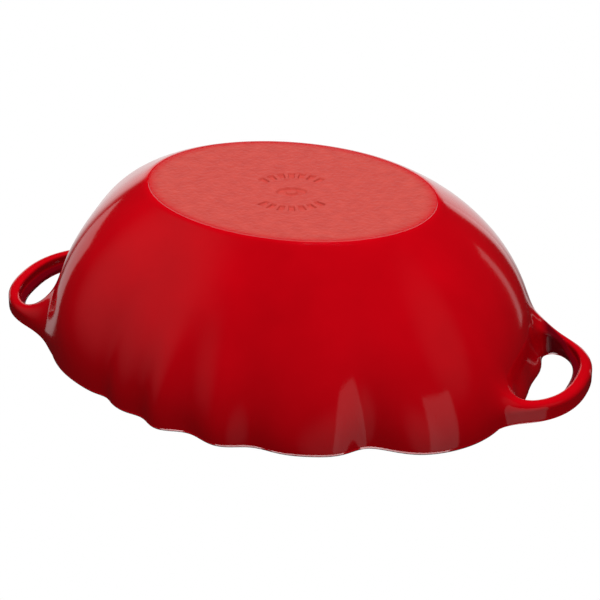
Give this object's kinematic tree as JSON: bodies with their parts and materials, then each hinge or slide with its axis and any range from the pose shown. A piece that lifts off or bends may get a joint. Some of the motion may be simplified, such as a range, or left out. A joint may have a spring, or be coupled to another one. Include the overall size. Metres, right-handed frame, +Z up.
{
  "type": "casserole pot",
  "caption": "Low tomato-shaped casserole pot in enamelled cast iron, with furrowed sides, a flat base and a loop handle at each end.",
  "frame": {"origin": "middle of the flat base, on the surface that the pot stands on", "axes": "+X along the line through both handles, +Z up and out of the pot's mouth, so the furrowed side that the picture shows faces -Y"},
  "size_m": [0.315, 0.2276, 0.0867],
  "materials": {
    "red_enamel": "glossy red vitreous enamel over cast iron",
    "rough_red_enamel": "rough matte red enamel",
    "black_enamel": "matte black enamel"
  },
  "bodies": {
    "root": {"pot_wall": "red_enamel", "rim_lip": "black_enamel", "base_coat": "rough_red_enamel", "handle_right": "red_enamel", "handle_left": "red_enamel"}
  },
  "joints": []
}
